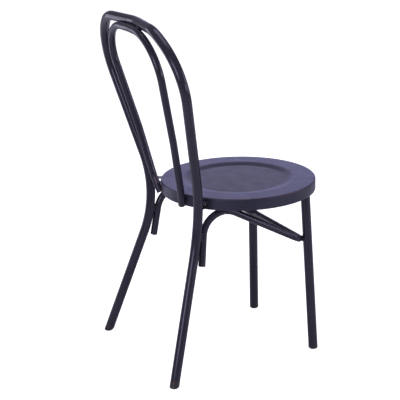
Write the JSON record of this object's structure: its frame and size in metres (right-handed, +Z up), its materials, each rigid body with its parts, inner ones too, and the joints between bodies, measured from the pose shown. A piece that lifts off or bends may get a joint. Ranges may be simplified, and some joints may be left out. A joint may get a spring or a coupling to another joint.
{
  "type": "choir chair",
  "caption": "Stackable steel chair with a round dished seat, a bent-tube back hoop with a smaller hoop inside it, tube legs and a looped tube brace below.",
  "frame": {"origin": "on the floor, midway between the chair's two sides and midway between its front and back ends", "axes": "+Z up; the sitter faces -Y; +X is the sitter's left"},
  "size_m": [0.4958, 0.5262, 0.9248],
  "materials": {
    "frame": "satin powder coat",
    "seat": "satin powder coat",
    "fasteners": "dull zinc",
    "glides": "matte"
  },
  "bodies": {
    "root": {"seat_pan": "seat", "back_hoop": "frame", "inner_hoop": "frame", "front_leg_left": "frame", "front_leg_right": "frame", "leg_plate_left": "frame", "leg_plate_right": "frame", "leg_brace": "frame", "brace_hanger_left": "frame", "brace_hanger_right": "frame", "hoop_bracket_left": "frame", "hoop_bracket_right": "frame", "bracket_bolt_left": "fasteners", "bracket_bolt_right": "fasteners", "bracket_nut_left": "fasteners", "bracket_nut_right": "fasteners", "glide_front_left": "glides", "glide_front_right": "glides", "glide_rear_left": "glides", "glide_rear_right": "glides"}
  },
  "joints": []
}
